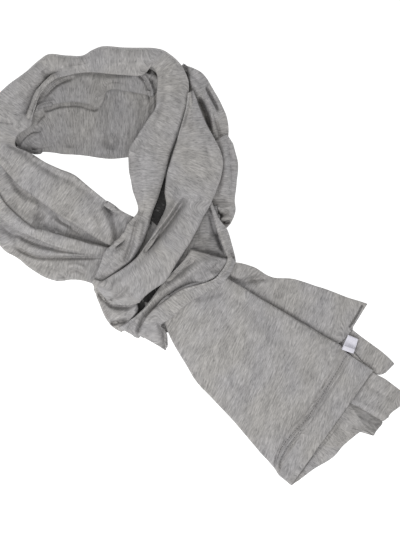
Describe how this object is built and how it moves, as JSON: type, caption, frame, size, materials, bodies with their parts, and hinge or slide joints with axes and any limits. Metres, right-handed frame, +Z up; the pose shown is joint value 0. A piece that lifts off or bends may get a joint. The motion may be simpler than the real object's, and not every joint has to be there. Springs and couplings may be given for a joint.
{
  "type": "scarf",
  "caption": "Long jersey scarf lying flat, doubled and tied with a pull-through knot, with a neck loop and two flat tails.",
  "frame": {"origin": "middle of the underside's bounding box, on the surface the scarf lies on", "axes": "+Z up out of the scarf as it lies, +X from the neck loop towards the tails' side, +Y from the tails towards the back of the neck loop"},
  "size_m": [0.5248, 0.5269, 0.0626],
  "materials": {
    "jersey": "light heather grey single jersey, matt with a soft nap",
    "jersey_shaded": "the same jersey in the folds",
    "label_tape": "plain pale woven label tape, smooth"
  },
  "bodies": {
    "root": {"hidden_layers": "jersey_shaded", "tail_layers": "jersey_shaded", "inner_back": "jersey", "inner_fold": "jersey", "collar": "jersey", "shoulder": "jersey", "front_fold": "jersey", "right_band": "jersey", "middle_band": "jersey", "lower_band": "jersey", "strand": "jersey", "bunch_back": "jersey", "bunch_side": "jersey", "recess_wrap": "jersey_shaded", "side_strip": "jersey", "bight_left": "jersey", "bight_upper": "jersey", "bight_rim": "jersey", "tail_front": "jersey", "hem_band": "jersey", "hem_flap": "jersey", "tail_back": "jersey", "tail_lower": "jersey", "tail_under": "jersey", "label": "label_tape"}
  },
  "joints": []
}
